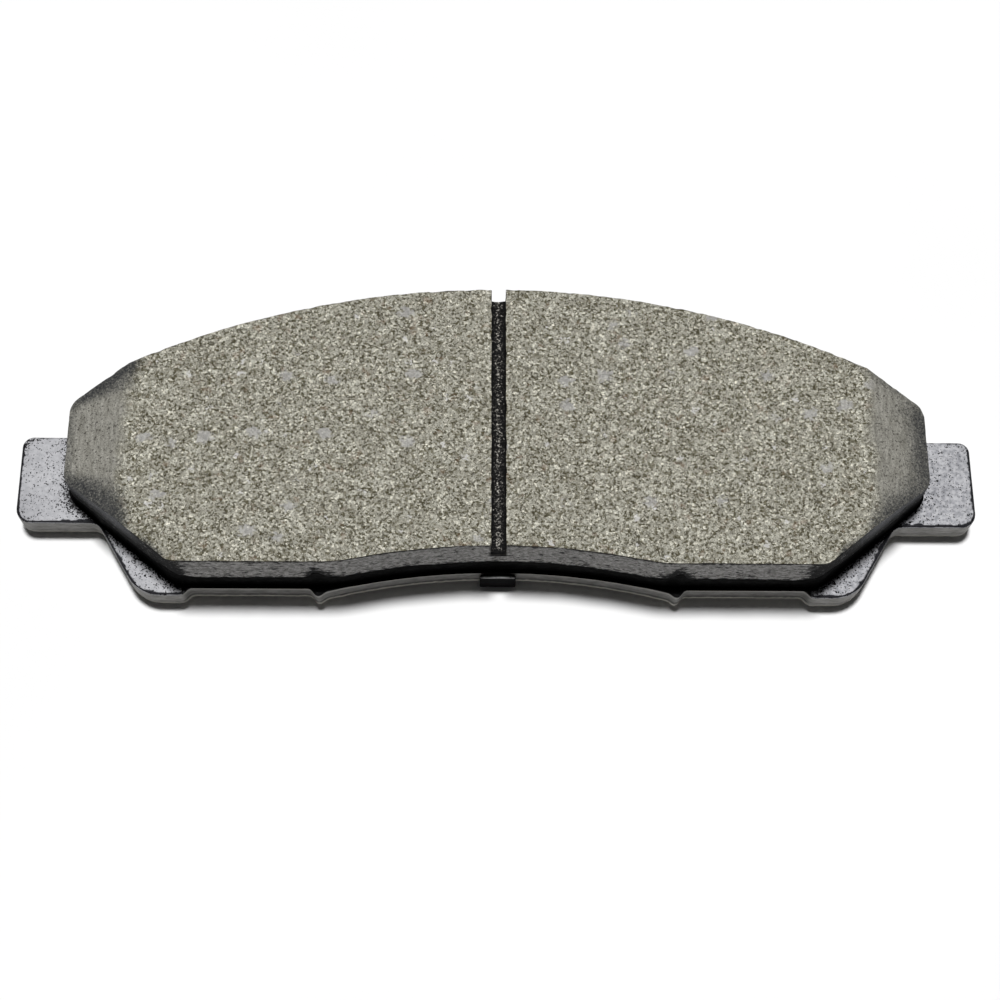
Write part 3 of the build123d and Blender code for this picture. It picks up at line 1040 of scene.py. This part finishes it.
def friction_mix():
    """Friction composite: ground face, smooth ends, moulded wall and slot, under a drift of black coat."""
    m = Shader("friction_mix_look")
    cells = m.cells(2650.0, "Color", m.stretched((1.0, 1.0, 1.0), wobble=0.0002))
    grain = m.channel(cells, 0)
    fine = m.noise(3900.0, detail=3.0, roughness=0.75)
    lengthwise = m.stretched((0.42, 0.42, 1.25))
    colour = m.mix(m.attribute("ground"), smooth_end(m, fine), ground_face(m, grain, fine))
    colour = m.mix(m.remap(m.attribute("wall"), 0.4, 0.8), colour, moulded_wall(m, lengthwise))
    colour = m.mix(m.attribute("slot"), colour, slot_inside(m))
    on_wall = m.remap(m.attribute("wall"), 0.3, 0.5)
    ragged = m.swing(m.noise(1100.0, detail=3.0), 1.5)
    lip = m.remap(m.plus(m.attribute("edge"), ragged), 0.42, 0.66)
    colour = m.mix(m.times(m.times(lip, on_wall), 0.9), colour, (0.014, 0.013, 0.012))
    cover, coat = black_coat(m, on_wall, fine, lengthwise)
    m.set("Base Color", m.mix(m.times(cover, 0.97), colour, coat))
    shine = m.ramp(m.channel(cells, 2), [(0.90, 0.0), (0.94, 1.0)], smooth=False)
    m.set("Metallic", m.times(shine, 0.3))
    m.set("Specular IOR Level", 0.12)
    m.set("Roughness", m.mix(shine, (0.8, 0.8, 0.8), (0.5, 0.5, 0.5)))
    m.bump(m.plus(m.times(grain, 0.5), fine), 0.14 * MM, 0.6)
    return m.material


def black_mix(name, tone, roughness, relief):
    """Dark moulded or cured material with fine grit."""
    m = Shader(name)
    grit = m.noise(2200.0, detail=4.0, roughness=0.75)
    dark, pale = (tuple(part * t for t in tone) for part in (0.5, 6.0))
    m.set("Base Color", m.ramp(grit, [(0.35, dark), (0.62, tone), (0.78, pale)]))
    spread = m.noise(900.0, detail=3.0)
    m.set("Roughness", m.ramp(spread, [(0.3, roughness - 0.12), (0.7, roughness + 0.12)]))
    m.set("Specular IOR Level", 0.04)
    m.bump(grit, relief, 0.6)
    return m.material


def plate_face(m, mottle):
    """The plate's pale grey face, mottled more strongly towards its right end."""
    cloud = m.noise(120.0, detail=4.0, roughness=0.6)
    face = m.ramp(cloud, [(0.3, (0.30, 0.30, 0.315)), (0.7, (0.40, 0.40, 0.415))])
    strong = m.ramp(mottle, [(0.33, (0.55, 0.56, 0.58)), (0.62, 1.16)])
    gentle = m.ramp(mottle, [(0.33, (0.78, 0.785, 0.79)), (0.62, 1.08)])
    uneven = m.mix(m.remap(m.axis(0), -30.0 * MM, 30.0 * MM), gentle, strong)
    return m.mix(1.0, face, uneven, "MULTIPLY")


def plate_side(m):
    """The blanked side: streaked, darker in front from overspray and painted shade, with a dark groove and
    bright lines of painted highlight.
    """
    streak = m.noise(1200.0, detail=3.0, roughness=0.7, at=m.stretched((0.35, 0.35, 1.0)))
    side = m.ramp(streak, [(0.3, (0.13, 0.126, 0.118)), (0.7, (0.32, 0.315, 0.30))])
    # Darker along the front: partly black overspray, partly painted shade.
    side = m.mix(m.times(m.attribute("front"), 0.38), side, (0.03, 0.03, 0.028))
    side = m.mix(m.attribute("groove"), side, (0.015, 0.015, 0.014))
    # Painted highlight: the glint lines in a pale colour.
    return m.mix(m.attribute("glint"), side, (0.66, 0.64, 0.58))


def plate_coat():
    """Thin light grey coat with slight orange peel, black spray beside the block and a dark rim line of
    painted shade.
    """
    m = Shader("plate_coat_look")
    mottle = m.noise(1150.0)
    colour = m.mix(m.attribute("side"), plate_face(m, mottle), plate_side(m))
    drift = m.attribute("drift")
    spray = m.swing(m.noise(3100.0, detail=1.0, roughness=0.6), 3.6)
    dots = m.remap(m.plus(drift, spray), 0.45, 0.60)
    haze = m.times(m.remap(drift, 0.35, 0.9), 0.6)
    black = m.times(m.math("MAXIMUM", dots, haze), m.math("SUBTRACT", 1.0, m.attribute("side")))
    colour = m.mix(black, colour, (0.0025, 0.0025, 0.003))
    wear_and_edge_shading = m.swing(m.noise(260.0, detail=3.0), 1.3)
    # The rim's dark line is painted shade, broken up by noise; its specular is turned down.
    line = m.remap(m.plus(m.attribute("rim"), wear_and_edge_shading), 0.35, 0.65)
    m.set("Base Color", m.mix(m.times(line, 0.95), colour, (0.006, 0.006, 0.008)))
    m.set("Metallic", 0.15)
    m.set("Specular IOR Level", m.ramp(line, [(0.0, 0.2), (0.8, 0.01)]))
    m.set("Roughness", m.ramp(mottle, [(0.3, 0.5), (0.7, 0.62)]))
    m.bump(mottle, 0.04 * MM, 0.5)
    return m.material


def shim_coat():
    """Black coat on spring steel, slightly grainy, bright along the lower tab's outer edge from wear and a
    painted highlight.
    """
    m = Shader("shim_coat_look")
    grain = m.noise(1800.0, detail=3.0, roughness=0.65)
    coat = m.ramp(grain, [(0.3, (0.0008, 0.0008, 0.001)), (0.7, (0.004, 0.004, 0.0043))])
    corners = [v.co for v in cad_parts["shim_steel"].data.vertices]
    tab = [corner for corner in corners if corner.y < 0 and corner.z > 3.0 * MM]
    outer_face = min(corner.y for corner in tab)
    tip = max(corner.z for corner in tab)
    at_face = m.remap(m.axis(1), outer_face + 0.30 * MM, outer_face + 0.12 * MM)
    at_tip = m.remap(m.axis(2), tip - 0.50 * MM, tip - 0.30 * MM)
    scratches = m.remap(m.noise(900.0, detail=3.0), 0.3, 0.5)
    # Bright line along the tab's edge: partly worn coat, partly a painted highlight on the bevel.
    wear_and_edge_shading = m.times(m.times(at_face, at_tip), scratches)
    m.set("Base Color", m.mix(wear_and_edge_shading, coat, (0.3, 0.3, 0.3)))
    m.set("Roughness", m.ramp(grain, [(0.3, 0.75), (0.7, 0.9)]))
    m.set("Specular IOR Level", 0.04)
    m.bump(grain, 0.02 * MM, 0.4)
    return m.material


add_camera()
add_studio()
adhesive = black_mix("bond_black_look", (0.001, 0.001, 0.0011), 0.6, 0.05 * MM)
underlayer = black_mix("underlayer_look", (0.0011, 0.0011, 0.0011), 0.75, 0.1 * MM)
shim_rubber = black_mix("shim_rubber_look", (0.012, 0.012, 0.012), 0.7, 0.03 * MM)
shim_glue = black_mix("shim_glue_look", (0.03, 0.03, 0.028), 0.5, 0.02 * MM)
add_plate(plate_coat())
add_bond_film(adhesive)
add_specks(adhesive)
add_friction_and_underlayer(friction_mix(), underlayer)
add_shim(shim_coat(), shim_rubber, shim_glue)
